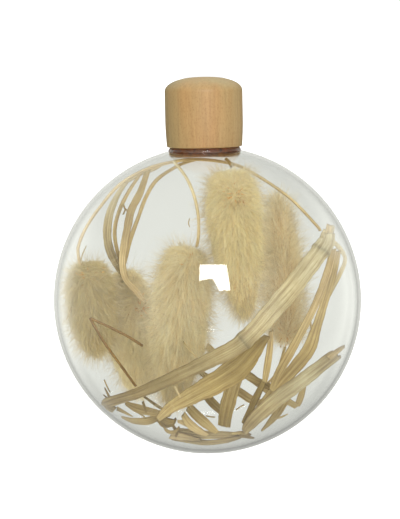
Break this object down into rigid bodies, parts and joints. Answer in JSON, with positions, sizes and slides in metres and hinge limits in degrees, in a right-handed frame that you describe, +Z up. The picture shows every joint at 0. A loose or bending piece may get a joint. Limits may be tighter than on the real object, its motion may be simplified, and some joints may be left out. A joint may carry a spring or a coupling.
{
  "type": "glass ball ornament",
  "caption": "Clear glass ball with a turned wooden cap on a cork plug, filled with dried bunny-tail grass heads, thin stems, straws and split leaves.",
  "frame": {"origin": "lowest point of the ball, on the axis of the neck", "axes": "+Z up along the axis of the neck and cap; the filling is seen from -Y"},
  "size_m": [0.08, 0.08, 0.098],
  "materials": {
    "glass": "clear blown glass, polished",
    "cap_wood": "turned light wood, fine grain, satin",
    "cork": "dark brown cork with glue, speckled",
    "fluff": "soft dried grass hair",
    "straw": "dried straw, fibrous, satin",
    "leaf": "dried split leaf, ribbed",
    "stem": "dried thin stem"
  },
  "bodies": {
    "ball": {"glass_ball": "glass", "tail_right_front": "fluff", "tail_right_back": "fluff", "tail_middle": "fluff", "tail_left_front": "fluff", "tail_left_back": "fluff", "stem_right_front": "stem", "stem_right_back": "stem", "stem_middle": "stem", "stem_left_front": "stem", "stem_kinked": "stem", "straw_long": "straw", "straw_slim": "straw", "straw_lower_right": "straw", "straw_bottom": "straw", "stalk_short": "leaf", "leaf_broad": "straw", "leaf_curved": "leaf", "leaf_inner": "leaf", "leaf_outer": "leaf", "leaf_tip": "leaf", "leaf_kinked": "leaf", "leaf_crossing": "leaf", "leaf_lower_left": "leaf", "leaf_left_end": "leaf", "leaf_lower_middle": "leaf", "leaf_small": "leaf", "leaf_upper_wide": "straw", "leaf_upper_dark": "leaf", "leaf_upper_thin": "straw", "leaf_upper_arched": "straw", "sliver_left": "leaf", "fibres": "stem"},
    "stopper": {"wood_cap": "cap_wood", "cork_plug": "cork"}
  },
  "joints": [
    {"name": "stopper_lift", "type": "slide", "parent": "ball", "child": "stopper", "axis": [0, 0, 1], "range_m": [0, 0.03]}
  ]
}
